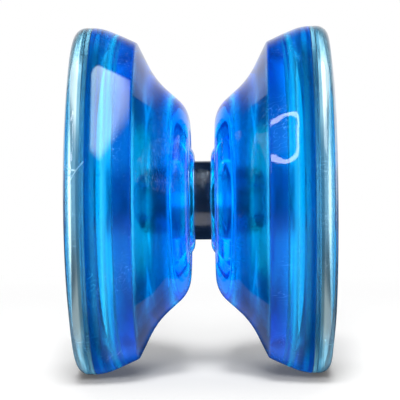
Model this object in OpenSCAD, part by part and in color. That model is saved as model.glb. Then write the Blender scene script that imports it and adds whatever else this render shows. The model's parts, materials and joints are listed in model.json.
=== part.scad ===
// Take-apart ball-bearing yo yo: two hollow translucent halves, each closed by
// a clear ring and a clear cap, screwed together on a stud through a bearing.
// The axle lies on X, +Z is up, and the origin is the centre of the bearing.
// Sizes ending in _w are measured across both halves, left to right.

/* [Overall] */
// Diameter over the rims
rim_d = 55.8; // [55:0.1:56.6]
// Width over the two side caps
overall_w = 41.6; // [41:0.1:42.4]
// Gap between the two hub faces
hub_gap = 4.0; // [3.8:0.1:4.4]

/* [Body outline] */
// Radial width of the hub face outside the response pad
hub_land = 3.3; // [3:0.1:3.6]
// Radius of the hub corner
hub_corner_r = 5.4; // [4:0.1:6]
// Width between the two waists, where the hub's slope meets the rim's
waist_w = 15.0; // [14.6:0.1:15.6]
// Radial depth of the waist below the rim
waist_drop = 8.35; // [8:0.05:8.7]
// Radius of the hollow at the waist
waist_r = 13; // [8:0.5:15]
// Width between the two shoulders
shoulder_w = 20.8; // [20.4:0.1:21.4]
// Radial depth of the shoulder below the rim
shoulder_drop = 2.45; // [2.2:0.05:2.8]
// Radius of the shoulder's edge
shoulder_r = 0.8; // [0.4:0.1:1.2]
// Width between the places where the rim's slope reaches the full diameter
crest_w = 32.1; // [31.4:0.1:32.6]
// Radius that rounds the rim's slope into its full diameter
crest_r = 7.6; // [5:0.1:8]

/* [Body walls] */
// Thickness of the hub web behind the hub face
web_t = 3.8; // [3.2:0.1:4.2]
// Thickness of the sloping walls
wall_t = 2.9; // [2.4:0.1:3.1]
// Thickness of the rim over its bore
rim_t = 3.4; // [3:0.1:3.8]
// Width between the inner ends of the two rim bores
bore_w = 28.8; // [28:0.1:30]
// Radius of the corners inside the body
inner_r = 2.5; // [1.5:0.1:3]

/* [Ring and side cap] */
// Width of the clear ring between the body and the cap
ring_w = 0.7; // [0.5:0.1:1]
// Radial thickness of the ring's lip, which sits in the body
ring_lip_t = 1.2; // [1:0.1:1.4]
// Depth of the ring's lip in the body
ring_lip_l = 1.2; // [1:0.1:1.4]
// Width of the cap from its seam to its outer face
cap_w = 2.9; // [2.6:0.1:3.1]
// Thickness of the cap's disc
cap_t = 1.8; // [1.5:0.1:2]
// Chamfer between the inside of the disc and its locating lip
cap_chamfer = 1.1; // [0.6:0.1:1.3]
// Radius of the cap's outer edge
cap_edge_r = 1.9; // [1.4:0.1:2]
// Radial width of the raked border round the flat of the cap
cap_border = 5.9; // [5.4:0.1:8]
// Radius that blends the raked border into the flat
cap_blend_r = 12; // [6:1:14]
// Set-back of the cap's edge from its outer face
cap_rake = 0.75; // [0.5:0.05:0.9]
// Radial thickness of the cap's locating lip
cap_lip_t = 1.2; // [1:0.1:1.6]
// Length of the cap's locating lip past the seam
cap_lip_l = 1.7; // [1.2:0.1:2.2]

/* [Bearing] */
// Outside diameter of the bearing
bearing_od = 12.7; // [12.6:0.1:12.8]
// Bore of the bearing
bearing_bore = 6.35; // [6.3:0.05:6.4]
// Width of the bearing
bearing_w = 4.76; // [4.7:0.02:4.8]
// Diameter of a ball
ball_d = 1.588; // [1.5:0.004:1.588]
// Number of balls
ball_count = 8; // [8:1:8]
// Radial gap between the lands of the two races
race_gap = 0.8; // [0.7:0.05:0.9]
// Chamfer on the outer corners of the outer race
race_chamfer = 0.15; // [0.1:0.01:0.2]
// Width of the ball cage
cage_w = 2.1; // [2:0.1:2.4]
// Free space between the cage and the race lands
cage_gap = 0.15; // [0.1:0.01:0.18]
// Thickness of a bearing shield
shield_t = 0.15; // [0.12:0.01:0.16]
// Depth of a shield's seat below the side of the bearing
shield_sink = 0.46; // [0.42:0.01:0.5]
// Height of the step in the outer race that seats a shield
shield_step = 0.5; // [0.44:0.01:0.56]
// Free space between a shield and the inner race
shield_gap = 0.3; // [0.2:0.02:0.34]
// Thickness of a snap ring
snap_t = 0.16; // [0.12:0.01:0.17]
// Radial width of a snap ring
snap_w = 0.4; // [0.3:0.02:0.44]
// Depth of the snap ring's groove
snap_groove = 0.2; // [0.14:0.01:0.24]
// Width of the split in a snap ring, as an angle
snap_split = 24; // [16:1:30]

/* [Bearing pocket] */
// Gap between the two raised lips round the bearing
lip_gap = 2.66; // [2.5:0.02:3]
// Outside diameter of the raised lip
lip_d = 16; // [15.6:0.1:16.6]
// Radial width of the lip's sloping flank
lip_flank = 0.3; // [0.2:0.05:0.5]
// Free space between the body and the turning outer race
race_clear = 0.3; // [0.25:0.05:0.35]

/* [Axle] */
// Thread diameter of the stud
stud_d = 4; // [3.8:0.1:4]
// Length of the stud
stud_l = 28; // [27:0.5:29]
// Chamfer on the ends of the stud
stud_chamfer = 0.4; // [0.2:0.1:0.6]
// Width across the flats of the stud's hexagon socket
socket_af = 2; // [1.5:0.1:2.2]
// Depth of the stud's hexagon socket
socket_l = 2.2; // [1.5:0.1:3]
// Width across the flats of the nut
nut_af = 7; // [6.8:0.1:7.2]
// Height of the nut
nut_t = 3.2; // [3:0.1:3.4]
// How far the nut's outer face stands past the end of the stud
nut_past = 0.3; // [0.2:0.02:0.5]
// Depth of the nut's outer face below the end of the boss
nut_sink = 0.2; // [0.1:0.05:0.4]
// Diameter of the boss round the nut
boss_d = 10.8; // [10.4:0.1:12]
// Thickness of the spacer's flange
flange_t = 2; // [1.6:0.1:2.2]

/* [Response pads] */
// Inside diameter of the pad
pad_id = 17.8; // [17.6:0.1:18.2]
// Outside diameter of the pad
pad_od = 22.6; // [21.6:0.1:23]
// Thickness of the pad
pad_t = 1; // [0.8:0.1:1.2]
// Depth of the pad's face below the hub face
pad_sink = 0.1; // [0.05:0.05:0.3]

/* [Fits] */
// Free space round a piece that is seated or glued
seat_fit = 0.03; // [0.02:0.01:0.05]
// Free space round a ball in its races and cage
ball_fit = 0.05; // [0.04:0.01:0.06]
// Free space round a shield and a snap ring
snap_fit = 0.02; // [0.01:0.01:0.02]

/* [Hidden] */
fine = 96;
half_w = overall_w / 2;
hub_x = hub_gap / 2;
seam_x = half_w - cap_w;
body_x = seam_x - ring_w;
rim_bore_r = rim_d / 2 - rim_t;
pocket_r = bearing_od / 2 + race_clear;
pocket_x = bearing_w / 2 + race_clear;
ball_ring_r = (bearing_od + bearing_bore) / 4;
inner_land_r = ball_ring_r - race_gap / 2;
outer_land_r = ball_ring_r + race_gap / 2;
shield_r = outer_land_r + shield_step;
shield_x = bearing_w / 2 - shield_sink;
snap_r = shield_r + snap_groove;
snap_x = shield_x + shield_t + snap_fit;
seat_x = bearing_w / 2 + flange_t;
nut_x = stud_l / 2 + nut_past - nut_t;
boss_x = nut_x + nut_t + nut_sink;
pad_x = hub_x + pad_sink;

// Points are [distance along the axle, radius].
function unit(v) = v / norm(v);

// The round that replaces corner b between a and c. It takes up no more than
// the shares f and g of its two sides.
function round_corner(a, b, c, r, f, g) =
    let (
        u = unit(a - b),
        w = unit(c - b),
        half = acos(u * w) / 2,
        reach = min(r / tan(half), f * norm(a - b), g * norm(c - b)),
        rr = reach * tan(half),
        o = b + unit(u + w) * (rr / sin(half)),
        s = b + u * reach - o,
        e = b + w * reach - o,
        a0 = atan2(s.y, s.x),
        sweep = (cross(s, e) > 0 ? 1 : -1) * (180 - 2 * half),
        n = max(2, ceil(abs(sweep) / 5))
    )
    [for (k = [0 : n]) o + rr * [cos(a0 + sweep * k / n), sin(a0 + sweep * k / n)]];

// A line through the points p, its inner corners rounded by the radii r.
function rounded(p, r) =
    let (last = len(p) - 1)
    [
        for (i = [0 : last])
            let (f = i == 1 ? 0.98 : 0.49, g = i == last - 1 ? 0.98 : 0.49)
            each (i == 0 || i == last) ? [p[i]] : round_corner(p[i - 1], p[i], p[i + 1], r[i], f, g)
    ];

// The wall line a to b moved into the material by t, as a point and a direction.
function moved(a, b, t) = let (d = unit(b - a)) [a + t * [d.y, -d.x], d];

// The point at which two such lines meet.
function meet(l, m) = l[0] + l[1] * (cross(m[0] - l[0], m[1]) / cross(l[1], m[1]));

// Arc of n steps about o from angle a to angle b.
function arc(o, r, a, b, n) = [
    for (k = [0 : n]) o + r * [cos(a + (b - a) * k / n), sin(a + (b - a) * k / n)]
];

// The outline of one half, from the hub face to the middle of the side cap.
hub_face = [hub_x, pad_od / 2 + seat_fit];
hub_edge = [hub_x, pad_od / 2 + hub_land];
waist = [waist_w / 2, rim_d / 2 - waist_drop];
shoulder = [shoulder_w / 2, rim_d / 2 - shoulder_drop];
crest = [crest_w / 2, rim_d / 2];
cap_edge = [half_w - cap_rake, rim_d / 2];
cap_flat = [half_w, rim_d / 2 - cap_border];
cap_middle = [half_w, stud_d];
outline = rounded(
    [hub_face, hub_edge, waist, shoulder, crest, cap_edge, cap_flat, cap_middle],
    [0, hub_corner_r, waist_r, shoulder_r, crest_r, cap_edge_r, cap_blend_r, 0]
);

// The stretch of that outline from x = a to x = b, beyond the shoulder.
function rim_span(a, b) = concat(
    [[a, lookup(a, outline)]],
    [for (p = outline) if (p.x > a + 0.02 && p.x < b - 0.02) p],
    [[b, lookup(b, outline)]]
);

// The inside of the body, from its rim bore down to the boss.
slope_in = moved(hub_edge, waist, wall_t);
rise_in = moved(waist, shoulder, wall_t);
web_in = [[hub_x + web_t, 0], [0, 1]];
inside = rounded(
    [
        [body_x - ring_lip_l, rim_bore_r],
        [bore_w / 2, rim_bore_r],
        meet(rise_in, slope_in),
        meet(slope_in, web_in),
        [hub_x + web_t, boss_d / 2]
    ],
    [0, inner_r, 2 * inner_r, inner_r, 0]
);

// Turns an outline of [x, radius] points round the axle.
module turned(points) {
    rotate([0, 90, 0])
        rotate_extrude($fn = fine)
            polygon([for (p = points) [p.y, p.x]]);
}

// A bar with n flats, across the flats af, from x = a to x = b.
module flats_bar(n, af, a, b) {
    translate([a, 0, 0])
        rotate([0, 90, 0])
            cylinder(r = af / 2 / cos(180 / n), h = b - a, $fn = n);
}

module shell() {
    color([0.02, 0.42, 0.86, 0.6])
        difference() {
            turned(concat(
                [[lip_gap / 2, pocket_r], [lip_gap / 2, lip_d / 2]],
                [[hub_x, lip_d / 2 + lip_flank]],
                [[hub_x, pad_id / 2 - seat_fit], [pad_x + pad_t, pad_id / 2 - seat_fit]],
                [[pad_x + pad_t, pad_od / 2 + seat_fit]],
                [for (p = outline) if (p.x < body_x - 0.02) p],
                [[body_x, lookup(body_x, outline)]],
                [[body_x, rim_bore_r + ring_lip_t + seat_fit]],
                [[body_x - ring_lip_l, rim_bore_r + ring_lip_t + seat_fit]],
                inside,
                [[boss_x, boss_d / 2], [boss_x, stud_d / 2 + seat_fit]],
                [[seat_x, stud_d / 2 + seat_fit], [seat_x, inner_land_r + seat_fit]],
                [[pocket_x, inner_land_r + seat_fit], [pocket_x, pocket_r]]
            ));
            flats_bar(6, nut_af + 2 * seat_fit, nut_x, boss_x + 1);
        }
}

module rim_ring() {
    color([0.8, 0.92, 0.95, 0.4])
        turned(concat(
            rim_span(body_x, seam_x),
            [[seam_x, rim_bore_r]],
            [[body_x - ring_lip_l, rim_bore_r]],
            [[body_x - ring_lip_l, rim_bore_r + ring_lip_t]],
            [[body_x, rim_bore_r + ring_lip_t]]
        ));
}

module side_cap() {
    disc_x = half_w - cap_t;
    lip_bore_r = rim_bore_r - seat_fit - cap_lip_t;
    color([0.8, 0.92, 0.98, 0.4])
        turned(concat(
            [[disc_x, 0], [disc_x, lip_bore_r - cap_chamfer]],
            [[disc_x - cap_chamfer, lip_bore_r], [seam_x - cap_lip_l, lip_bore_r]],
            [[seam_x - cap_lip_l, rim_bore_r - seat_fit], [seam_x, rim_bore_r - seat_fit]],
            [[seam_x, lookup(seam_x, outline)]],
            [for (p = outline) if (p.x > seam_x + 0.02 && p.y > stud_d + seat_fit) p],
            [[half_w, 0]]
        ));
}

module axle_nut() {
    color([0.75, 0.76, 0.78])
        difference() {
            flats_bar(6, nut_af, nut_x, nut_x + nut_t);
            turned([
                [nut_x - 1, 0],
                [nut_x - 1, stud_d / 2],
                [nut_x + nut_t + 1, stud_d / 2],
                [nut_x + nut_t + 1, 0]
            ]);
        }
}

// Sits in the body, carries the inner race on its post.
module bearing_spacer() {
    color([0.8, 0.81, 0.83])
        turned([
            [seat_fit, stud_d / 2 + seat_fit],
            [seat_fit, bearing_bore / 2 - seat_fit],
            [bearing_w / 2, bearing_bore / 2 - seat_fit],
            [bearing_w / 2, inner_land_r],
            [seat_x, inner_land_r],
            [seat_x, stud_d / 2 + seat_fit]
        ]);
}

module response_pad() {
    color([0.9, 0.93, 0.95])
        turned([
            [pad_x, pad_id / 2],
            [pad_x, pad_od / 2],
            [pad_x + pad_t, pad_od / 2],
            [pad_x + pad_t, pad_id / 2]
        ]);
}

module axle_stud() {
    e = stud_l / 2;
    r = stud_d / 2;
    c = stud_chamfer;
    color([0.3, 0.31, 0.33])
        difference() {
            turned([[-e, 0], [-e, r - c], [c - e, r], [e - c, r], [e, r - c], [e, 0]]);
            flats_bar(6, socket_af, e - socket_l, e + 1);
        }
}

// Half of a race's ball groove, seen in section, with the groove on side s.
function groove(land, s) =
    let (
        r = ball_d / 2 + ball_fit,
        a = asin(abs(land - ball_ring_r) / r)
    )
    arc([0, ball_ring_r], r, s * (180 - a), s * a, 14);

module bearing_inner_race() {
    w = bearing_w / 2;
    color([0.72, 0.74, 0.77])
        turned(concat(
            [[-w, bearing_bore / 2], [-w, inner_land_r]],
            groove(inner_land_r, -1),
            [[w, inner_land_r], [w, bearing_bore / 2]]
        ));
}

module bearing_outer_race() {
    w = bearing_w / 2;
    r = bearing_od / 2;
    c = race_chamfer;
    a = snap_x - snap_fit;
    b = snap_x + snap_t + snap_fit;
    color([0.16, 0.2, 0.26])
        turned(concat(
            [[c - w, r], [-w, r - c], [-w, shield_r]],
            [[-b, shield_r], [-b, snap_r], [-a, snap_r]],
            [[-a, shield_r], [-shield_x, shield_r], [-shield_x, outer_land_r]],
            groove(outer_land_r, 1),
            [[shield_x, outer_land_r], [shield_x, shield_r], [a, shield_r]],
            [[a, snap_r], [b, snap_r], [b, shield_r]],
            [[w, shield_r], [w, r - c], [w - c, r]]
        ));
}

module bearing_cage() {
    r = ball_d / 2 + ball_fit;
    t = race_gap / 2 - cage_gap;
    color([0.7, 0.72, 0.75])
        difference() {
            turned([
                [-cage_w / 2, ball_ring_r - t],
                [-cage_w / 2, ball_ring_r + t],
                [cage_w / 2, ball_ring_r + t],
                [cage_w / 2, ball_ring_r - t]
            ]);
            for (i = [1 : ball_count])
                rotate([360 * (i - 1) / ball_count, 0, 0])
                    translate([0, 0, bearing_bore / 2])
                        cylinder(r = r, h = bearing_od / 2, $fn = 32);
        }
}

module bearing_ball(i) {
    color([0.85, 0.86, 0.88])
        rotate([360 * (i - 1) / ball_count, 0, 0])
            translate([0, 0, ball_ring_r])
                sphere(d = ball_d, $fn = 32);
}

module bearing_shield() {
    color([0.6, 0.62, 0.66])
        turned([
            [shield_x, inner_land_r + shield_gap],
            [shield_x, shield_r - snap_fit],
            [shield_x + shield_t, shield_r - snap_fit],
            [shield_x + shield_t, inner_land_r + shield_gap]
        ]);
}

module snap_ring() {
    color([0.5, 0.52, 0.55])
        rotate([snap_split / 2, 0, 0])
            rotate([0, 90, 0])
                rotate_extrude(angle = 360 - snap_split, $fn = fine)
                    polygon([
                        [snap_r - snap_fit - snap_w, snap_x],
                        [snap_r - snap_fit, snap_x],
                        [snap_r - snap_fit, snap_x + snap_t],
                        [snap_r - snap_fit - snap_w, snap_x + snap_t]
                    ]);
}

module left() {
    mirror([1, 0, 0])
        children();
}

left() shell();  // left_shell
shell();  // right_shell
left() rim_ring();  // left_rim_ring
rim_ring();  // right_rim_ring
left() side_cap();  // left_side_cap
side_cap();  // right_side_cap
left() axle_nut();  // left_axle_nut
axle_nut();  // right_axle_nut
left() bearing_spacer();  // left_bearing_spacer
bearing_spacer();  // right_bearing_spacer
left() response_pad();  // left_response_pad
response_pad();  // right_response_pad
axle_stud();
bearing_inner_race();
bearing_outer_race();
bearing_cage();
left() bearing_shield();  // left_bearing_shield
bearing_shield();  // right_bearing_shield
left() snap_ring();  // left_snap_ring
snap_ring();  // right_snap_ring
for (i = [1 : ball_count])
    bearing_ball(i);
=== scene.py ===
import json
import math
import bpy
import bmesh
from mathutils import Matrix, Vector


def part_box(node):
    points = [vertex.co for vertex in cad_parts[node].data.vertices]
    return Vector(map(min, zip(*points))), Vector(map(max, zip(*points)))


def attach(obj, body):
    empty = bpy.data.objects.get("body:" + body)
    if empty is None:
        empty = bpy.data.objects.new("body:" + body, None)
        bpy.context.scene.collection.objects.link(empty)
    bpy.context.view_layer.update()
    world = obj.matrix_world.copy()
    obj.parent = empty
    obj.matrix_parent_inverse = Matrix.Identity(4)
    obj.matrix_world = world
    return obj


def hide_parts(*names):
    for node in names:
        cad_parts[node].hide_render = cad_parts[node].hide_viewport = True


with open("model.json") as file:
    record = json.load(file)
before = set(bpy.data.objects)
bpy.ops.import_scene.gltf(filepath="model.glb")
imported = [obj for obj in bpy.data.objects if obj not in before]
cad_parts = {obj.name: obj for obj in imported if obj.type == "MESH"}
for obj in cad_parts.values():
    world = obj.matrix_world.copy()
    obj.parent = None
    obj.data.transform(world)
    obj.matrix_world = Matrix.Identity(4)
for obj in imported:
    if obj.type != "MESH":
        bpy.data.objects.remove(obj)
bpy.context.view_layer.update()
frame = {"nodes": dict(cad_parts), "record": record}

# The two bodies. Each is one piece of clear blue polycarbonate, polished outside
# and satin inside: a hub with the bearing's pocket and the pad's groove, a post
# that holds the nut, and a cupped rim that a clear ring and a clear cap close.

MM = 0.001
HALVES = ((-1, "left"), (1, "right"))


def span(node):
    """The two ends along the axle and the radius of a CAD node, in millimetres."""
    low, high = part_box(node)
    return low[0] / MM, high[0] / MM, high[2] / MM


HALF_WIDTH, RIM_RADIUS = span("right_side_cap")[1:]
BODY_END = span("right_shell")[1]
NUT_SEAT, NUT_END, NUT_CORNER = span("right_axle_nut")
SEAT_FLOOR = span("right_bearing_spacer")[1]

# The air left between two pieces, how far sharp edges are eased, and then the body's
# own sizes: plain numbers are millimetres along the axle or from it.
AIR = 0.012
EASED = 0.07
HUB_FACE = 2.0
HUB_RADIUS = 14.6
LIP_FACE = 1.33
LIP_RADIUS = 8.0
POCKET_RADIUS = 6.65
POCKET_FLOOR = 2.68
SEAT_RADIUS = 4.39
STUD_HOLE = 2.03
NUT_POCKET = NUT_CORNER + 0.035
POST_END = 14.5
POST_RADIUS = 5.4
WEB = 5.8
WALL = 2.9
RIM_BORE = 24.5
RING_SEAT = 16.0
REBATE = 25.73
GROOVE_BORE, GROOVE_RIM, GROOVE_FLOOR = 8.87, 11.33, 3.1


def rounded(points, radii, step=3.0):
    """A line through the points, its corners rounded by the radii, in steps of so many degrees."""
    end_share, shared = 0.98, 0.49
    line = [Vector(points[0])]
    last = len(points) - 1
    for i in range(1, last):
        a, b, c = (Vector(points[j]) for j in (i - 1, i, i + 1))
        u, w = (a - b).normalized(), (c - b).normalized()
        half = math.acos(u.dot(w)) / 2
        reach = min(
            radii[i] / math.tan(half),
            (a - b).length * (end_share if i == 1 else shared),
            (c - b).length * (end_share if i == last - 1 else shared),
        )
        r = reach * math.tan(half)
        o = b + (u + w).normalized() * (r / math.sin(half))
        s, e = b + u * reach - o, b + w * reach - o
        turn = math.copysign(math.pi - 2 * half, s.x * e.y - s.y * e.x)
        count = max(2, math.ceil(math.degrees(abs(turn)) / step))
        start = math.atan2(s.y, s.x)
        for k in range(count + 1):
            angle = start + turn * k / count
            line.append(o + r * Vector((math.cos(angle), math.sin(angle))))
    return line + [Vector(points[last])]


def turned(name, outline, side=1, steps=192, closed=True, sharp=24.0):
    """A piece turned on the axle from an outline of (place along the axle, radius) in millimetres."""
    bm = bmesh.new()
    rim = [bm.verts.new((side * p[0] * MM, 0.0, p[1] * MM)) for p in outline]
    pairs = list(zip(rim, rim[1:]))
    if closed:
        pairs.append((rim[-1], rim[0]))
    edges = [bm.edges.new(pair) for pair in pairs]
    bmesh.ops.spin(
        bm, geom=rim + edges, cent=(0, 0, 0), axis=(1, 0, 0),
        angle=2 * math.pi, steps=steps, use_merge=True,
    )
    bmesh.ops.remove_doubles(bm, verts=bm.verts, dist=1e-7)
    bmesh.ops.recalc_face_normals(bm, faces=bm.faces)
    return made(name, bm, sharp)


def made(name, bm, sharp):
    """An object from a finished bmesh, smooth but for edges that turn by more than so many degrees."""
    for face in bm.faces:
        face.smooth = True
    for edge in bm.edges:
        edge.smooth = edge.calc_face_angle(0) < math.radians(sharp)
    mesh = bpy.data.meshes.new(name)
    bm.to_mesh(mesh)
    bm.free()
    piece = bpy.data.objects.new(name, mesh)
    bpy.context.scene.collection.objects.link(piece)
    return piece


def six_flats(piece, across, least, most):
    """Pulls a turned rim between two radii in to the flats of a hexagon, so much across."""
    for vert in piece.data.vertices:
        r = math.hypot(vert.co.y, vert.co.z)
        if not least * MM < r < most * MM:
            continue
        angle = math.radians(math.degrees(math.atan2(vert.co.y, vert.co.z)) % 60 - 30)
        shrink = min(1.0, across / 2 * MM / math.cos(angle) / r)
        vert.co.y, vert.co.z = vert.co.y * shrink, vert.co.z * shrink


def add(tree, kind, settings, inputs):
    """A shader node with its settings and its inputs, each a value or another node's output."""
    made_node = tree.nodes.new("ShaderNode" + kind)
    for key, value in settings.items():
        setattr(made_node, key, value)
    for key, value in inputs.items():
        if isinstance(value, bpy.types.NodeSocket):
            tree.links.new(value, made_node.inputs[key])
        else:
            made_node.inputs[key].default_value = value
    return made_node


def result_of(tree, operation, a, b=0.0, c=0.0):
    """The result of one Math node."""
    return add(tree, "Math", {"operation": operation}, {0: a, 1: b, 2: c}).outputs[0]


def product(tree, value, *others):
    """The product of several values."""
    for other in others:
        value = result_of(tree, "MULTIPLY", value, other)
    return value


def length_of(tree, a, b):
    """The length of a line that runs a one way and b the other."""
    return result_of(tree, "SQRT", result_of(tree, "MULTIPLY_ADD", a, a, product(tree, b, b)))


def stretched(tree, value, low, high, to_low=0.0, to_high=1.0):
    """A value carried smoothly from one range to another."""
    given_range = {"Value": value, "From Min": low, "From Max": high, "To Min": to_low, "To Max": to_high}
    return add(tree, "MapRange", {"interpolation_type": "SMOOTHSTEP"}, given_range).outputs["Result"]


def coloured(tree, value, stops):
    """A colour from a value between 0 and 1, by (place, colour) stops."""
    ramp = add(tree, "ValToRGB", {}, {0: value})
    elements = ramp.color_ramp.elements
    elements[0].position, elements[0].color = stops[0][0], (*stops[0][1], 1)
    elements[1].position, elements[1].color = stops[-1][0], (*stops[-1][1], 1)
    for place, shade in stops[1:-1]:
        elements.new(place).color = (*shade, 1)
    return ramp.outputs["Color"]


def group_of(name, inputs, output):
    """A node group with float inputs, given with their defaults, and one float output."""
    group = bpy.data.node_groups.new(name, "ShaderNodeTree")
    for key, value in inputs.items():
        socket = group.interface.new_socket(name=key, in_out="INPUT", socket_type="NodeSocketFloat")
        socket.default_value = value
    group.interface.new_socket(name=output, in_out="OUTPUT", socket_type="NodeSocketFloat")
    given = group.nodes.new("NodeGroupInput").outputs
    return group, given, group.nodes.new("NodeGroupOutput").inputs[0]


def placed(tree, group, inputs):
    """The output of a node group placed in a material with its own values."""
    return add(tree, "Group", {"node_tree": group}, inputs).outputs[0]


def own_place(tree):
    """The place on a piece, by its own origin and axes."""
    return add(tree, "TexCoord", {}, {}).outputs["Object"]


def parts_of(tree, vector):
    """The three parts of a vector."""
    return add(tree, "SeparateXYZ", {}, {0: vector}).outputs


def on_the_axle(tree):
    """The place on a turned piece: along the axle, out from it and round it, in millimetres."""
    parts = parts_of(tree, own_place(tree))
    x, y, z = (product(tree, part, 1 / MM) for part in parts)
    out = length_of(tree, y, z)
    return x, out, product(tree, result_of(tree, "ARCTAN2", z, y), out)


def line_at(tree, value, middle, edge, core):
    """A line where a value passes its middle: 1 as near to it as the core, 0 beyond the edge."""
    off_middle = result_of(tree, "ABSOLUTE", result_of(tree, "SUBTRACT", value, middle))
    return stretched(tree, off_middle, edge, core)


# Rings that a lathe or a turned mould leaves, all round the axle.
turning_marks, given, result = group_of("turning marks", {"Spacing mm": 0.3, "Seed": 0.0}, "Height")
x, out = on_the_axle(turning_marks)[:2]
rings = result_of(turning_marks, "DIVIDE", result_of(turning_marks, "ADD", x, out), given["Spacing mm"])
rings = result_of(turning_marks, "ADD", rings, given["Seed"])
one_way = {"noise_dimensions": "1D"}
noise = add(turning_marks, "TexNoise", one_way, {"W": rings, "Scale": 1.0, "Detail": 3.0})
turning_marks.links.new(noise.outputs["Fac"], result)

# Hairline scratches in patches, from handling.
hairlines, given, result = group_of("hairlines", {"Amount": 0.5, "Length": 8.0, "Seed": 0.0}, "Mask")
place = own_place(hairlines)
seeds = {k: given["Seed"] for k in range(3)}
seeded = add(hairlines, "CombineXYZ", {}, seeds).outputs[0]
masks = []
for turn in ((0.5, 0.2, 0.9), (-0.7, 0.4, 0.3)):
    leant = {"Vector": place, "Rotation": turn, "Scale": (900, 900, 900)}
    leaning = add(hairlines, "Mapping", {}, leant).outputs[0]
    shifted = add(hairlines, "VectorMath", {"operation": "ADD"}, {0: leaning, 1: seeded}).outputs[0]
    parts = parts_of(hairlines, shifted)
    along = result_of(hairlines, "DIVIDE", parts[0], given["Length"])
    drawn_out = add(hairlines, "CombineXYZ", {}, {0: along, 1: parts[1], 2: parts[2]}).outputs[0]
    wavy = add(hairlines, "TexNoise", {}, {"Vector": drawn_out, "Scale": 1.6, "Detail": 1.0})
    line = line_at(hairlines, wavy.outputs["Fac"], 0.5, 0.012, 0.002)
    patch = add(hairlines, "TexNoise", {}, {"Vector": shifted, "Scale": 0.12}).outputs["Fac"]
    masks.append(product(hairlines, line, stretched(hairlines, patch, 0.55, 0.7)))
both = product(hairlines, result_of(hairlines, "MAXIMUM", *masks), given["Amount"])
hairlines.links.new(both, result)

# Dust: small round specks, thinly strewn.
dust, given, result = group_of("dust", {"Amount": 0.5, "Spacing mm": 1.6, "Seed": 0.0}, "Mask")
scale = result_of(dust, "DIVIDE", 1 / MM, given["Spacing mm"])
strewn = {"Vector": own_place(dust), "W": given["Seed"], "Scale": scale}
cells = add(dust, "TexVoronoi", {"voronoi_dimensions": "4D"}, strewn).outputs
chosen = add(dust, "SeparateColor", {}, {0: cells["Color"]}).outputs[0]
size = product(dust, stretched(dust, chosen, 0.80, 1.0), 0.09)
speck = result_of(dust, "LESS_THAN", cells["Distance"], size)
dust.links.new(product(dust, speck, given["Amount"]), result)


def scaled(tree, shade, amount):
    """A colour made so much stronger or weaker."""
    return add(tree, "VectorMath", {"operation": "SCALE"}, {0: shade, "Scale": amount}).outputs[0]


def summed(tree, one, other):
    """The sum of two colours."""
    return add(tree, "VectorMath", {"operation": "ADD"}, {0: one, 1: other}).outputs[0]


def emptied(owner):
    """The node tree of a new material or world, with nothing in it yet."""
    owner.use_nodes = True
    owner.node_tree.nodes.clear()
    return owner.node_tree


def clear_plastic(name, seed, soaked_up, density, rubbed):
    """A clear plastic that soaks up light inside, with marks, scratches and dust on its surface, which
    glow faintly white as a painted light.
    The attribute "satin" says how rough each face is."""
    material = bpy.data.materials.new(name)
    material.cycles.emission_sampling = "NONE"
    tree = emptied(material)
    scratches = placed(tree, hairlines, {"Amount": 0.5, "Length": 12.0, "Seed": seed})
    specks = placed(tree, dust, {"Amount": 1.0, "Spacing mm": 1.7, "Seed": seed})
    marks = placed(tree, turning_marks, {"Spacing mm": 0.3, "Seed": seed})
    worn = result_of(tree, "MAXIMUM", result_of(tree, "MAXIMUM", scratches, specks), rubbed(tree))
    height = result_of(tree, "MULTIPLY_ADD", worn, -0.5, marks)
    bump = add(tree, "Bump", {}, {"Height": height, "Strength": 0.008, "Distance": 0.0001}).outputs[0]
    # The marks' whiteness is a painted glow, shining without any light on them.
    marks_painted_glow = scaled(tree, (0.16, 0.22, 0.28), worn)
    satin = add(tree, "Attribute", {"attribute_name": "satin"}, {}).outputs["Fac"]
    rough = result_of(tree, "MULTIPLY_ADD", worn, 0.3, result_of(tree, "ADD", satin, 0.02))
    shader = add(tree, "BsdfPrincipled", {}, {
        "Roughness": rough, "Normal": bump, "IOR": 1.58, "Transmission Weight": 1.0,
        "Emission Color": marks_painted_glow, "Emission Strength": 1.0,
    })
    inner = add(tree, "VolumeAbsorption", {}, {"Color": (*soaked_up, 1), "Density": density})
    add(tree, "OutputMaterial", {}, {"Surface": shader.outputs[0], "Volume": inner.outputs[0]})
    return material, tree, shader


def banded(tree, bands, reach=20.0):
    """A colour that shifts along the axle, by (millimetres from the middle, colour) pairs."""
    along = result_of(tree, "ABSOLUTE", on_the_axle(tree)[0])
    stops = [(x / reach, shade) for x, shade in bands]
    return coloured(tree, result_of(tree, "DIVIDE", along, reach), stops)


def seen_from_front(tree):
    """The place across a piece, in millimetres: along the axle, up, and 1 on its front half."""
    parts = parts_of(tree, own_place(tree))
    x, z = (product(tree, parts[k], 1 / MM) for k in (0, 2))
    return x, z, result_of(tree, "LESS_THAN", parts[1], 0.0)


def apart(tree, x, z, centre):
    """The distance of a place from a centre."""
    dx = result_of(tree, "SUBTRACT", x, centre[0])
    dz = result_of(tree, "SUBTRACT", z, centre[1])
    return length_of(tree, dx, dz)


def rubbed_by_string(tree):
    """A curved patch of short strokes on the left hub, where the string has rubbed."""
    centre, radius = (-5.0, 6.0), 3.1
    x, z, front = seen_from_front(tree)
    patch = line_at(tree, apart(tree, x, z, centre), radius, 1.7, 0.6)
    left_hub = stretched(tree, x, -3.2, -4.6)
    around = on_the_axle(tree)[2]
    stroke = add(tree, "CombineXYZ", {}, {0: product(tree, x, 4.2), 1: around, 2: 0.0}).outputs[0]
    short = {"Vector": stroke, "Scale": 0.9, "Detail": 2.0, "Distortion": 0.3}
    strokes = line_at(tree, add(tree, "TexNoise", {}, short).outputs["Fac"], 0.5, 0.022, 0.006)
    return product(tree, strokes, patch, left_hub, front, 0.5)


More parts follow.
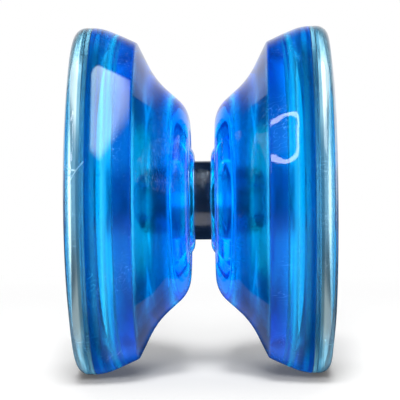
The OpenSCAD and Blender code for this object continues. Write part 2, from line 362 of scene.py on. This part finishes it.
def moved(a, b, t):
    """The wall line a to b moved into the material by t, as a point and a direction."""
    d = (Vector(b) - Vector(a)).normalized()
    return Vector(a) + t * Vector((d.y, -d.x)), d


def meet(one, two):
    """The point at which two such lines meet."""
    gap = two[0] - one[0]
    return one[0] + one[1] * (gap.cross(two[1]) / one[1].cross(two[1]))


def eased(x, r, side):
    """The two points that ease a sharp outer corner at x, where the piece lies on that side of it."""
    return [(x, r - EASED), (x + side * EASED, r)]


# The outer line of body, ring and cap together: its corners, each with the radius that
# rounds it, from the pad's groove over the rim to the flat of the cap.
hub_edge, waist, shoulder = (HUB_FACE, HUB_RADIUS), (7.5, 19.55), (10.4, 25.45)
corners = [
    ((HUB_FACE, GROOVE_RIM), 0), (hub_edge, 5.4), (waist, 13), (shoulder, 0.8),
    ((13.1, 26.70), 40), ((16.05, RIM_RADIUS), 7.6), ((HALF_WIDTH - 0.75, RIM_RADIUS), 1.9),
    ((HALF_WIDTH, RIM_RADIUS - 5.9), 12), ((HALF_WIDTH, 4.0), 0),
]
outline = rounded(*zip(*corners))


def outer_radius(x):
    """The outline's radius at x."""
    for a, b in zip(outline, outline[1:]):
        if a.x <= x <= b.x and b.x > a.x:
            return a.y + (b.y - a.y) * (x - a.x) / (b.x - a.x)
    return 0.0


def rim_between(a, b):
    """The points of the outline between x = a and x = b, past the shoulder."""
    return [tuple(p) for p in outline if a + 2 * EASED < p.x < b - 2 * EASED and p.y > 20.0]


# The line of the hollow: the rim's bore, the walls a wall's thickness in, and the web.
slope_in, rise_in = moved(hub_edge, waist, WALL), moved(waist, shoulder, WALL)
web_in = (Vector((WEB, 0.0)), Vector((0.0, 1.0)))
corners = [
    ((RING_SEAT, RIM_BORE), 0), ((RING_SEAT - 1.6, RIM_BORE), 2.5), (meet(rise_in, slope_in), 5),
    (meet(slope_in, web_in), 2.5), ((WEB, POST_RADIUS), 0),
]
inside = rounded(*zip(*corners))
lip = [
    (LIP_FACE, POCKET_RADIUS), (LIP_FACE, LIP_RADIUS - 0.7), (LIP_FACE + 0.10, LIP_RADIUS - 0.3),
    (LIP_FACE + 0.35, LIP_RADIUS + 0.2), (HUB_FACE, LIP_RADIUS + 0.6),
]
body_end = BODY_END - AIR
body_outline = (
    lip
    + [(HUB_FACE, GROOVE_BORE), (GROOVE_FLOOR, GROOVE_BORE), (GROOVE_FLOOR, GROOVE_RIM)]
    + [tuple(p) for p in outline if p.x < body_end - 2 * EASED]
    + eased(body_end, outer_radius(body_end), -1)[::-1]
    + [(body_end, REBATE), (RING_SEAT - AIR, REBATE)]
    + [tuple(p) for p in inside]
    + [(POST_END, POST_RADIUS), (POST_END, NUT_POCKET), (NUT_SEAT, NUT_POCKET), (NUT_SEAT, STUD_HOLE)]
    + [(SEAT_FLOOR, STUD_HOLE), (SEAT_FLOOR, SEAT_RADIUS), (POCKET_FLOOR, SEAT_RADIUS)]
    + [(POCKET_FLOOR, POCKET_RADIUS)]
)

# The blue sits in the plastic. On top of it, lighter and darker bands along the axle are painted light and
# shade in the wall's colour: paler at the rim's middle and the ring's seat.
blue, tree, shader = clear_plastic(
    "clear blue polycarbonate", 3.0, (0.0, 0.85, 0.997), 300.0, rubbed_by_string
)
painted_bands = banded(tree, [
    (4.6, (0.0, 0.66, 1.0)), (5.4, (0.0, 0.10, 0.44)), (6.2, (0.0, 0.036, 0.16)),
    (7.2, (0.0, 0.022, 0.13)), (8.2, (0.0, 0.10, 0.34)), (9.0, (0.0, 0.014, 0.075)),
    (9.9, (0.0, 0.012, 0.065)), (10.35, (0.01, 0.13, 0.30)), (10.6, (0.01, 0.20, 0.36)),
    (11.4, (0.01, 0.17, 0.28)), (12.0, (0.01, 0.22, 0.35)), (12.6, (0.02, 0.46, 0.62)),
    (13.2, (0.03, 0.95, 1.0)), (13.8, (0.02, 0.52, 0.78)), (15.0, (0.0, 0.09, 0.28)),
    (15.6, (0.0, 0.05, 0.16)), (15.9, (0.01, 0.36, 0.56)), (16.3, (0.01, 0.36, 0.56)),
    (16.6, (0.0, 0.10, 0.38)),
])
# The painted bands and a faint painted glow, standing in for light scattered in the plastic, belong to the
# polished outside alone.
outside = add(tree, "Attribute", {"attribute_name": "outside"}, {}).outputs["Fac"]
painted_bands = add(tree, "Mix", {"data_type": "RGBA"}, {0: outside, 6: (1, 1, 1, 1), 7: painted_bands}).outputs[2]
tree.links.new(painted_bands, shader.inputs["Base Color"])
painted_glow = scaled(tree, (0.0, 0.012, 0.045), outside)
marks_painted_glow = shader.inputs["Emission Color"].links[0].from_socket
tree.links.new(summed(tree, marks_painted_glow, painted_glow), shader.inputs["Emission Color"])


def satin_at(x, r, side):
    """How satin the inside is at a place: most behind the rim band, least at the right hub and posts."""
    band, rim, web, post, left_hub, right_hub = 0.26, 0.12, 0.22, 0.04, 0.10, 0.04
    if x > 9.5 and r > 7.0:
        return band if 12.2 < x < 15.2 else rim
    if x > WEB + 0.2:
        return web if r > 12.0 else post
    return right_hub if side > 0 else left_hub


for side, which in HALVES:
    body = turned(which + "_body", body_outline, side)
    for attribute in ("satin", "outside"):
        body.data.attributes.new(attribute, "FLOAT", "FACE")
    satin_faces, outside_faces = (body.data.attributes[name].data for name in ("satin", "outside"))
    for face in body.data.polygons:
        x, r = abs(face.center.x) / MM, math.hypot(face.center.y, face.center.z) / MM
        polished = r > outer_radius(x) - 0.5
        pad_seat = x < HUB_FACE + 0.05 and LIP_RADIUS + 0.4 < r < HUB_RADIUS - 0.2
        satin_faces[face.index].value = 0.0 if polished and not pad_seat else satin_at(x, r, side)
        outside_faces[face.index].value = float(polished)
    pocket_across = 2 * NUT_POCKET * math.cos(math.radians(30))
    six_flats(body, pocket_across, NUT_POCKET - 0.01, NUT_POCKET + 0.01)
    body.data.materials.append(blue)
    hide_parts(which + "_shell")
    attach(body, "spool")

# The clear rings and the clear caps, one of each at both ends. Both are moulded
# in water-clear polycarbonate; the ring's lip sits in the body's rebate, and the
# cap's lip is pressed into the ring's bore.

SEAM = span("right_rim_ring")[1]
RING_FIT = 0.03
CAP_WALL = 1.8
CAP_LIP_BORE, CAP_LIP_RADIUS, CAP_LIP_DEPTH = 23.27, 24.47, 1.7
CAP_CHAMFER = 1.1

ring_a, ring_b = BODY_END + AIR, SEAM - AIR
ring_foot = RING_SEAT + AIR
ring_lip = [(ring_foot, RIM_BORE), (ring_foot, REBATE - RING_FIT), (ring_a, REBATE - RING_FIT)]
ring_outline = (
    eased(ring_a, outer_radius(ring_a), 1)
    + rim_between(ring_a, ring_b)
    + eased(ring_b, outer_radius(ring_b), -1)[::-1]
    + [(ring_b, RIM_BORE)]
    + ring_lip
)
cap_a = SEAM + AIR
cap_inner = HALF_WIDTH - CAP_WALL
lip_end = SEAM - CAP_LIP_DEPTH
cap_outline = (
    [(cap_inner, 0.0), (cap_inner, CAP_LIP_BORE - CAP_CHAMFER), (cap_inner - CAP_CHAMFER, CAP_LIP_BORE)]
    + [(lip_end, CAP_LIP_BORE), (lip_end, CAP_LIP_RADIUS), (cap_a, CAP_LIP_RADIUS)]
    + eased(cap_a, outer_radius(cap_a), 1)
    + [tuple(p) for p in outline if cap_a + 2 * EASED < p.x and p.y > 4.5]
    + [(HALF_WIDTH, 0.0)]
)


def long_scratch(tree):
    """One long, slightly bent scratch across the left cap."""
    centre, radius = (-11.1, 0.2), 9.0
    x, z, front = seen_from_front(tree)
    line = line_at(tree, apart(tree, x, z, centre), radius, 0.09, 0.03)
    starts, ends = stretched(tree, x, -17.0, -17.4), stretched(tree, x, -20.0, -19.4)
    upper = result_of(tree, "GREATER_THAN", z, 0.0)
    return product(tree, line, starts, ends, upper, front)


clear, tree, shader = clear_plastic(
    "water clear polycarbonate", 11.0, (0.3, 0.8, 0.95), 60.0, long_scratch
)
# The ring is tinted steel blue up to the seam; the dark slate band just past it is painted shade, and the
# cap is pale beyond.
painted_bands = banded(tree, [
    (SEAM - 0.05, (0.26, 0.50, 0.62)), (SEAM + 0.02, (0.08, 0.22, 0.32)),
    (SEAM + 0.50, (0.08, 0.22, 0.32)), (SEAM + 0.65, (0.95, 1.0, 1.0)),
])
tree.links.new(painted_bands, shader.inputs["Base Color"])

for side, which in HALVES:
    ring = turned(which + "_ring", ring_outline, side)
    cap = turned(which + "_cap", cap_outline, side, closed=False)
    for piece, node_name in ((ring, which + "_rim_ring"), (cap, which + "_side_cap")):
        inner_faces = piece.data.attributes.new("satin", "FLOAT", "FACE").data
        for face in piece.data.polygons:
            x, r = abs(face.center.x) / MM, math.hypot(face.center.y, face.center.z) / MM
            polished = r > outer_radius(x) - 0.3 or x > HALF_WIDTH - 0.1
            inner_faces[face.index].value = 0.0 if polished else 0.12
        piece.data.materials.append(clear)
        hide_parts(node_name)
        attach(piece, "spool")

# The response pads: soft rings of clear silicone, cut from sheet and stuck in the
# grooves of the hub faces, where the string rubs on them for the return.

PAD_A, PAD_B, PAD_RADIUS = span("right_response_pad")
PAD_BORE = 8.9
PAD_CUT = 0.2
PAD_BACK = 0.05
corners = [
    ((PAD_A, 10.0), 0), ((PAD_A, PAD_RADIUS), PAD_CUT), ((PAD_B, PAD_RADIUS), PAD_BACK),
    ((PAD_B, PAD_BORE), PAD_BACK), ((PAD_A, PAD_BORE), PAD_CUT), ((PAD_A, 9.99), 0),
]
pad_outline = rounded(*zip(*corners), step=15.0)[:-1]

silicone = bpy.data.materials.new("clear silicone")
silicone.cycles.emission_sampling = "NONE"
tree = emptied(silicone)
place = own_place(tree)
grain = add(tree, "TexNoise", {}, {"Vector": place, "Scale": 2600.0, "Detail": 4.0}).outputs["Fac"]
cloud = add(tree, "TexNoise", {}, {"Vector": place, "Scale": 350.0, "Detail": 2.0}).outputs["Fac"]
milky = coloured(tree, cloud, [(0.3, (0.86, 0.92, 0.96)), (0.7, (0.95, 0.97, 0.99))])
bump = add(tree, "Bump", {}, {"Height": grain, "Strength": 0.05, "Distance": 0.00005}).outputs[0]
rubbed = stretched(tree, cloud, 0.3, 0.7, 0.08, 0.16)
# A faint blue painted glow on the pads, standing in for light that reaches them through the body.
glow = {0: milky, 1: (0.06, 0.075, 0.17)}
painted_glow = add(tree, "VectorMath", {"operation": "MULTIPLY"}, glow).outputs[0]
shader = add(tree, "BsdfPrincipled", {}, {
    "Base Color": milky, "Roughness": rubbed, "Normal": bump, "IOR": 1.41, "Transmission Weight": 1.0,
    "Emission Color": painted_glow, "Emission Strength": 1.0,
})
add(tree, "OutputMaterial", {}, {"Surface": shader.outputs[0]})

for side, which in HALVES:
    pad = turned(which + "_pad", pad_outline, side)
    pad.data.materials.append(silicone)
    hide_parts(which + "_response_pad")
    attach(pad, "spool")

# The bearing spacers: flanged bushes turned from aluminium. The flange lies in the
# body's seat, and the two posts carry the bearing's inner race between them.

SPACER_GAP = 0.03
SPACER_POST = 3.145
POST_CHAMFER = 0.15
FLANGE_FACE = 2.38
FLANGE_RADIUS = 4.3625
FLANGE_CHAMFER = 0.1


def metal(name, shade, rough, spacing, strength, seed):
    """A turned or ground metal: rings round the axle, cloudy wear and hairlines."""
    material = bpy.data.materials.new(name)
    tree = emptied(material)
    rings = placed(tree, turning_marks, {"Spacing mm": spacing, "Seed": seed})
    lines = placed(tree, hairlines, {"Amount": 0.6, "Length": 6.0, "Seed": seed})
    clouds = {"Vector": own_place(tree), "Scale": 420.0, "Detail": 3.0}
    cloud = add(tree, "TexNoise", {}, clouds).outputs["Fac"]
    darker = tuple(0.8 * value for value in shade)
    tone = coloured(tree, cloud, [(0.3, darker), (0.7, shade)])
    wear = stretched(tree, cloud, 0.3, 0.7, rough - 0.04, rough + 0.06)
    height = result_of(tree, "MULTIPLY_ADD", lines, -0.5, rings)
    bump = add(tree, "Bump", {}, {"Height": height, "Strength": strength, "Distance": 0.00005}).outputs[0]
    finish = {"Base Color": tone, "Metallic": 1.0, "Roughness": wear, "Normal": bump}
    shader = add(tree, "BsdfPrincipled", {}, finish)
    add(tree, "OutputMaterial", {}, {"Surface": shader.outputs[0]})
    return material


aluminium = metal("turned aluminium", (0.83, 0.84, 0.86), 0.22, 0.08, 0.3, 1.0)
spacer_outline = [
    (SPACER_GAP, STUD_HOLE), (SPACER_GAP, SPACER_POST - POST_CHAMFER),
    (SPACER_GAP + POST_CHAMFER, SPACER_POST), (FLANGE_FACE, SPACER_POST),
    (FLANGE_FACE, FLANGE_RADIUS - FLANGE_CHAMFER), (FLANGE_FACE + FLANGE_CHAMFER, FLANGE_RADIUS),
    (SEAT_FLOOR - FLANGE_CHAMFER, FLANGE_RADIUS), (SEAT_FLOOR, FLANGE_RADIUS - FLANGE_CHAMFER),
    (SEAT_FLOOR, STUD_HOLE),
]
for side, which in HALVES:
    spacer = turned(which + "_spacer", spacer_outline, side, steps=96)
    spacer.data.materials.append(aluminium)
    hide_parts(which + "_bearing_spacer")
    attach(spacer, "spool")

# The axle: an M4 steel stud with a rolled thread from end to end, a chamfer at
# both ends and a hexagon socket in the right one. It screws into the two nuts.

STUD_HALF = span("axle_stud")[1]
STUD_RADIUS = 1.99
THREAD_PITCH = 0.7
THREAD_ROOT = 1.6
THREAD_STEPS = 32
STUD_CHAMFER = 0.4
SOCKET_ACROSS = 2.0
SOCKET_DEPTH = 2.2

# The thread is one ridge wound past both ends of the stud, then cut off at them.
bm = bmesh.new()
first = -STUD_HALF - 2 * THREAD_PITCH
ridge = [
    (0.0, THREAD_ROOT), (0.09, THREAD_ROOT), (0.31, STUD_RADIUS), (0.39, STUD_RADIUS), (0.61, THREAD_ROOT),
    (THREAD_PITCH, THREAD_ROOT),
]
ridge = [bm.verts.new(((first + x) * MM, 0.0, r * MM)) for x, r in ridge]
turns = math.ceil(2 * STUD_HALF / THREAD_PITCH) + 4
bmesh.ops.spin(
    bm, geom=ridge + [bm.edges.new(pair) for pair in zip(ridge, ridge[1:])],
    cent=(0, 0, 0), axis=(1, 0, 0), dvec=(THREAD_PITCH * MM / THREAD_STEPS, 0, 0),
    angle=2 * math.pi * turns, steps=THREAD_STEPS * turns, use_merge=False,
)
bmesh.ops.remove_doubles(bm, verts=bm.verts, dist=2e-6)
for end in (-1, 1):
    bmesh.ops.bisect_plane(
        bm, geom=bm.verts[:] + bm.edges[:] + bm.faces[:], dist=1e-7,
        plane_co=(end * STUD_HALF * MM, 0, 0), plane_no=(end, 0, 0), clear_outer=True,
    )
for vert in bm.verts:
    r = math.hypot(vert.co.y, vert.co.z)
    widest = STUD_RADIUS * MM - max(0.0, STUD_CHAMFER * MM - (STUD_HALF * MM - abs(vert.co.x)))
    if r > widest:
        vert.co.y, vert.co.z = vert.co.y * widest / r, vert.co.z * widest / r
for end in (-1, 1):
    open_edges = [e for e in bm.edges if e.is_boundary and e.verts[0].co.x * end > 0]
    if end == 1:
        corner = SOCKET_ACROSS / 2 * MM / math.cos(math.radians(30))
        at_end = Matrix.Translation((STUD_HALF * MM, 0, 0)) @ Matrix.Rotation(math.radians(90), 4, "Y")
        hexagon = bmesh.ops.create_circle(bm, segments=6, radius=corner, matrix=at_end)["verts"]
        mouth = list({edge for vert in hexagon for edge in vert.link_edges})
        bmesh.ops.bridge_loops(bm, edges=open_edges + mouth)
        wall = bmesh.ops.extrude_edge_only(bm, edges=mouth)["geom"]
        deep_verts = [item for item in wall if isinstance(item, bmesh.types.BMVert)]
        bmesh.ops.translate(bm, verts=deep_verts, vec=(-SOCKET_DEPTH * MM, 0, 0))
        deep_edges = [item for item in wall if isinstance(item, bmesh.types.BMEdge)]
        open_edges = [edge for edge in deep_edges if edge.is_boundary]
    bmesh.ops.contextual_create(bm, geom=open_edges)
bmesh.ops.triangulate(bm, faces=[face for face in bm.faces if len(face.verts) > 4])
bmesh.ops.recalc_face_normals(bm, faces=bm.faces)
stud = made("axle_stud_threaded", bm, 24.0)
stud.data.materials.append(metal("blackened steel", (0.70, 0.71, 0.74), 0.36, 0.06, 0.1, 5.0))
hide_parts("axle_stud")
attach(stud, "spool")

# The axle nuts: M4 hexagon nuts, cold-formed and bright-plated, with both rims
# chamfered. Each is pressed into the hexagon pocket of its body's post.

NUT_ACROSS = 7.0
NUT_BORE = STUD_HOLE - 0.02
CHAMFER_WIDTH = 0.48
CHAMFER_DEPTH = 0.28
plated = metal("bright plated steel", (0.90, 0.91, 0.93), 0.38, 0.2, 0.1, 7.0)

# The chamfers, as depth below the nut's face and radius, curving out to the corners.
shares = [k / 3 for k in range(4)]
chamfer = [(CHAMFER_DEPTH * share ** 2, NUT_CORNER - CHAMFER_WIDTH * (1 - share)) for share in shares]
nut_outline = (
    [(NUT_SEAT, NUT_BORE)]
    + [(NUT_SEAT + depth, r) for depth, r in chamfer]
    + [(NUT_END - depth, r) for depth, r in chamfer[::-1]]
    + [(NUT_END, NUT_BORE)]
)
for side, which in HALVES:
    nut = turned(which + "_nut", nut_outline, side, steps=96)
    six_flats(nut, NUT_ACROSS, 3.0, NUT_CORNER + 1.0)
    nut.data.materials.append(plated)
    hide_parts(which + "_axle_nut")
    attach(nut, "spool")

# The bearing: a ground and polished steel outer race that the string runs on, its
# edges rounded. Inside it are eight balls in a stamped cage round the inner race,
# closed at both sides by a thin shield held by a split snap ring.

RACE_HALF, RACE_RADIUS = span("bearing_outer_race")[1:]
SHIELD_RADIUS = 5.6625
LAND_RADIUS = 5.1625
SHIELD_FACE = 1.92
SNAP_NEAR, SNAP_FAR, SNAP_RADIUS = 2.07, 2.27, 5.8625
BALL_CIRCLE = 4.7625
GROOVE_RADIUS = 0.844
RACE_EASE = 0.2

lift_off = math.asin((LAND_RADIUS - BALL_CIRCLE) / GROOVE_RADIUS)
groove = [lift_off + (math.pi - 2 * lift_off) * k / 14 for k in range(15)]
groove = [(GROOVE_RADIUS * math.cos(a), BALL_CIRCLE + GROOVE_RADIUS * math.sin(a)) for a in groove]
race_half = [
    (SHIELD_FACE, LAND_RADIUS), (SHIELD_FACE, SHIELD_RADIUS), (SNAP_NEAR, SHIELD_RADIUS),
    (SNAP_NEAR, SNAP_RADIUS), (SNAP_FAR, SNAP_RADIUS), (SNAP_FAR, SHIELD_RADIUS),
    (RACE_HALF, SHIELD_RADIUS),
]
for angle in (math.radians(15 * k) for k in range(7)):
    back, down = RACE_EASE * (1 - math.cos(angle)), RACE_EASE * (1 - math.sin(angle))
    race_half.append((RACE_HALF - back, RACE_RADIUS - down))
race = turned("bearing_race", race_half + [(-x, r) for x, r in race_half[::-1]] + groove[::-1])
race.data.materials.append(metal("polished dark steel", (0.52, 0.56, 0.62), 0.16, 0.05, 0.10, 2.0))
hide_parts("bearing_outer_race")
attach(race, "outer_ring")

finishes = {
    "race_steel": metal("ground steel", (0.66, 0.68, 0.71), 0.2, 0.05, 0.2, 3.0),
    "cage_steel": metal("stamped steel", (0.60, 0.62, 0.65), 0.32, 0.4, 0.1, 4.0),
    "shield_steel": metal("bright shield steel", (0.55, 0.57, 0.61), 0.24, 0.12, 0.25, 6.0),
    "ball_steel": metal("mirror steel", (0.80, 0.81, 0.83), 0.08, 0.5, 0.02, 8.0),
}
for part in frame["record"]["subparts"]:
    if part["material_slot"] in finishes:
        carried = frame["nodes"][part["node"]]
        carried.data.materials.clear()
        carried.data.materials.append(finishes[part["material_slot"]])

# The table: a wide sheet of white card that the yo yo stands on. It takes the
# lamps' shadow near the yo yo and is plain white further off, like the backdrop.

TABLE_HALF_M = 20.0


def either(tree, mask, one, other):
    """One shader where the mask is 0 and the other where it is 1."""
    return add(tree, "MixShader", {}, {0: mask, 1: one, 2: other}).outputs[0]


bm = bmesh.new()
bmesh.ops.create_grid(bm, x_segments=1, y_segments=1, size=TABLE_HALF_M)
bmesh.ops.translate(bm, verts=bm.verts, vec=(0, 0, -RIM_RADIUS * MM))
table = made("table", bm, 30.0)
card = bpy.data.materials.new("white card")
tree = emptied(card)
off = add(tree, "VectorMath", {"operation": "LENGTH"}, {0: own_place(tree)}).outputs["Value"]
far = stretched(tree, off, 0.10, 0.22)
seen = add(tree, "LightPath", {}, {}).outputs
paper = add(tree, "BsdfDiffuse", {}, {"Color": (0.93, 0.93, 0.93, 1)})
glow = add(tree, "Emission", {}, {"Strength": product(tree, seen["Is Camera Ray"], 0.09)})
near = add(tree, "AddShader", {}, {0: paper.outputs[0], 1: glow.outputs[0]})
white = add(tree, "Emission", {}, {"Strength": 1.0})
gone = add(tree, "BsdfTransparent", {}, {})
beyond = either(tree, seen["Is Camera Ray"], gone.outputs[0], white.outputs[0])
add(tree, "OutputMaterial", {}, {"Surface": either(tree, far, near.outputs[0], beyond)})
table.data.materials.append(card)
table.visible_glossy = False
table.visible_transmission = False

# The studio: white all round for what is seen through the plastic, darker at the
# sides, with a dim room and a pale backdrop behind for what shines on it.

studio = bpy.data.worlds.new("studio")
bpy.context.scene.world = studio
tree = emptied(studio)
toward = parts_of(tree, add(tree, "TexCoord", {}, {}).outputs["Generated"])
sideways = result_of(tree, "ABSOLUTE", toward[0])
behind = stretched(tree, toward[1], 0.10, 0.60)
low_down = stretched(tree, toward[2], 0.60, 0.15)
over = stretched(tree, toward[2], -0.06, 0.02)
narrow = stretched(tree, sideways, 0.70, 0.50)
panel = product(tree, behind, low_down, over, narrow)
off_middle = stretched(tree, sideways, 0.10, 0.30)
below = product(tree, stretched(tree, toward[2], 0.0, -0.35, 0.0, 0.20), off_middle)
bright = result_of(tree, "MULTIPLY_ADD", panel, 0.75, below)
aside = stretched(tree, sideways, 0.80, 0.98, 0.0, 0.35)
plain = scaled(tree, (1.0, 1.0, 1.0), bright)
shining = summed(tree, scaled(tree, (0.45, 0.80, 1.0), aside), plain)
shining = summed(tree, shining, (0.010, 0.025, 0.060))
room = add(tree, "Background", {}, {"Color": shining})
flat = result_of(tree, "SQRT", result_of(tree, "SUBTRACT", 1.0, product(tree, toward[2], toward[2])))
swing = result_of(tree, "DIVIDE", sideways, flat)
dark_sides = [(0.0, (0.10, 0.20, 0.28)), (1.0, (1, 1, 1))]
all_round = coloured(tree, stretched(tree, swing, 0.995, 0.86), dark_sides)
high = stretched(tree, toward[2], 0.20, 0.65, 1.0, 0.5)
deep = stretched(tree, toward[2], -0.05, -0.50, 1.0, 0.20)
level = product(tree, stretched(tree, swing, 0.55, 0.25, 2.2, 3.6), high, deep)
through = add(tree, "Background", {}, {"Color": all_round, "Strength": level})
backdrop = add(tree, "Background", {}, {"Color": (1, 1, 1, 1)})
ambient = add(tree, "Background", {}, {"Color": (0.21, 0.21, 0.21, 1)})
seen = add(tree, "LightPath", {}, {}).outputs
shone = either(tree, seen["Is Diffuse Ray"], room.outputs[0], ambient.outputs[0])
indirect = either(tree, seen["Is Transmission Ray"], shone, through.outputs[0])
mixed = either(tree, seen["Is Camera Ray"], indirect, backdrop.outputs[0])
add(tree, "OutputWorld", {}, {"Surface": mixed})

# The lamps: softboxes and a bent tube lamp, which only shine on the plastic, and
# three lamps over the table, which light it and cast the yo yo's shadow.

LAMP_DISTANCE_M = 0.8


def toward_lamp(tilt, climb):
    """The direction of a lamp tilted so many degrees to the right of the upright plane
    across the axle, and so many degrees up round the axle from the front."""
    t, c = math.radians(tilt), math.radians(climb)
    return Vector((math.sin(t), -math.cos(t) * math.cos(c), math.cos(t) * math.sin(c)))


def facing(tilt, climb, lean=0.0):
    """The place of a lamp in that direction, facing the yo yo, its width along the axle, leaning."""
    direction = toward_lamp(tilt, climb)
    right = (Vector((1, 0, 0)) - direction * direction.x).normalized()
    turn = Matrix((right, direction.cross(right), direction)).transposed().to_4x4()
    leaning = Matrix.Rotation(math.radians(lean), 4, "Z")
    return Matrix.Translation(direction * LAMP_DISTANCE_M) @ turn @ leaning


def half_size(degrees):
    """Half the size that covers so many degrees at the lamps' distance."""
    return LAMP_DISTANCE_M * math.tan(math.radians(degrees / 2))


def only_shines(lamp):
    """Leaves a lamp to be seen in reflections alone."""
    lamp.visible_camera = False
    lamp.visible_diffuse = False
    lamp.visible_transmission = False
    lamp.visible_shadow = False


def glowing(name, shade, strength):
    """A material that only glows, with its node tree and its glow."""
    material = bpy.data.materials.new(name)
    tree = emptied(material)
    glow = add(tree, "Emission", {}, {"Color": (*shade, 1), "Strength": strength})
    add(tree, "OutputMaterial", {}, {"Surface": glow.outputs[0]})
    return material, tree, glow


def softbox(name, tilt, climb, lean, width, height, corners, shade, strength):
    """A softbox of so many degrees, with one rounder corner, soft edges and a foot that fades."""
    half_x, half_y = half_size(width), half_size(height)
    bm = bmesh.new()
    bmesh.ops.create_grid(bm, x_segments=1, y_segments=1, size=1.0)
    bmesh.ops.scale(bm, verts=bm.verts, vec=(half_x, half_y, 1))
    box = made(name, bm, 30.0)
    box.matrix_world = facing(tilt, climb, lean)
    material, tree, glow = glowing(name, shade, strength)
    parts = parts_of(tree, own_place(tree))
    small, large = (half_size(2 * corner) for corner in corners)
    up_left = result_of(tree, "SUBTRACT", parts[1], parts[0])
    corner = stretched(tree, up_left, 0.4 * half_y, 1.2 * half_y, small, large)
    past = []
    for part, half in ((parts[0], half_x), (parts[1], half_y)):
        over = result_of(tree, "SUBTRACT", result_of(tree, "ABSOLUTE", part), half)
        past.append(result_of(tree, "MAXIMUM", result_of(tree, "ADD", over, corner)))
    beyond = result_of(tree, "SUBTRACT", length_of(tree, *past), corner)
    edge = stretched(tree, beyond, 0.0, -half_size(9))
    foot = stretched(tree, parts[1], -half_y, -0.7 * half_y)
    tree.links.new(product(tree, edge, foot, strength), glow.inputs["Strength"])
    box.data.materials.append(material)
    only_shines(box)


softbox("key_softbox", 23.5, 69, 8, 31, 72, (8, 18), (0.86, 0.96, 1.0), 6.0)
softbox("upper_card", -1.2, 67, 0, 4, 34, (1, 1), (0.95, 0.95, 1.0), 2.6)
softbox("low_card", -1.2, -56, 0, 10, 46, (3, 3), (1.0, 0.96, 1.0), 0.55)
softbox("side_card", -42.5, 55, 0, 9, 26, (1, 3), (0.82, 0.80, 1.0), 1.0)

# The tube lamp's bends, by tilt and climb. Its outline shines on the right rim.
TUBE_RADIUS_M = 0.017
bends = [
    (-48, 72), (-42, 68), (-40.5, 67.5), (-38.5, 69.5), (-36, 69.5), (-33.5, 67), (-32.7, 61), (-34.3, 54),
    (-35.5, 47), (-36.7, 39), (-39.5, 34), (-43, 32.5), (-45.5, 37), (-46.5, 40), (-48, 35), (-53, 27),
]
path = bpy.data.curves.new("tube_lamp", "CURVE")
path.dimensions = "3D"
path.bevel_depth = TUBE_RADIUS_M
spline = path.splines.new("BEZIER")
spline.bezier_points.add(len(bends) - 1)
for point, (tilt, climb) in zip(spline.bezier_points, bends):
    point.co = toward_lamp(tilt, climb) * LAMP_DISTANCE_M
    point.handle_left_type = point.handle_right_type = "AUTO"
tube = bpy.data.objects.new("tube_lamp", path)
bpy.context.scene.collection.objects.link(tube)
path.materials.append(glowing("tube lamp", (0.88, 0.84, 1.0), 9.0)[0])
only_shines(tube)

for name, climb, width, height, strength in (
    ("table_lamp", 54, 12, 16, 36.0),
    ("low_lamp", 30, 12, 14, 26.0),
    ("back_lamp", 128, 44, 30, 1.9),
):
    data = bpy.data.lights.new(name, "AREA")
    data.shape = "RECTANGLE"
    data.size, data.size_y = 2 * half_size(width), 2 * half_size(height)
    data.energy = strength * math.pi * data.size * data.size_y
    lamp = bpy.data.objects.new(name, data)
    lamp.matrix_world = facing(0, climb)
    lamp.visible_camera = False
    lamp.visible_glossy = False
    lamp.visible_transmission = False
    bpy.context.scene.collection.objects.link(lamp)

# The camera stands in front of the gap, a little above the axle. Light crosses a
# dozen walls of plastic on its way to it, so it is followed further than usual.

CAMERA_PLACE_M = (0.00564, -0.32826, 0.01189)
YAW, PITCH, ROLL = -1.07, 2.066, -0.559
SENSOR_MM = 36.0
LENS_MM = 183.04

lens = bpy.data.cameras.new("camera")
lens.sensor_width = SENSOR_MM
lens.lens = LENS_MM
lens.clip_start = 0.01
camera = bpy.data.objects.new("camera", lens)
yaw, pitch, roll = (math.radians(angle) for angle in (YAW, PITCH, ROLL))
ahead = Vector((math.sin(yaw) * math.cos(pitch), math.cos(yaw) * math.cos(pitch), -math.sin(pitch)))
level_right = Vector((math.cos(yaw), -math.sin(yaw), 0))
level_up = level_right.cross(ahead)
right = math.cos(roll) * level_right + math.sin(roll) * level_up
up = math.cos(roll) * level_up - math.sin(roll) * level_right
turn = Matrix((right, up, -ahead)).transposed().to_4x4()
camera.matrix_world = Matrix.Translation(CAMERA_PLACE_M) @ turn
bpy.context.scene.collection.objects.link(camera)
bpy.context.scene.camera = camera
bpy.context.scene.view_settings.view_transform = "Standard"
light_paths = bpy.context.scene.cycles
light_paths.max_bounces = 24
light_paths.glossy_bounces = 16
light_paths.transmission_bounces = 24
light_paths.caustics_refractive = False
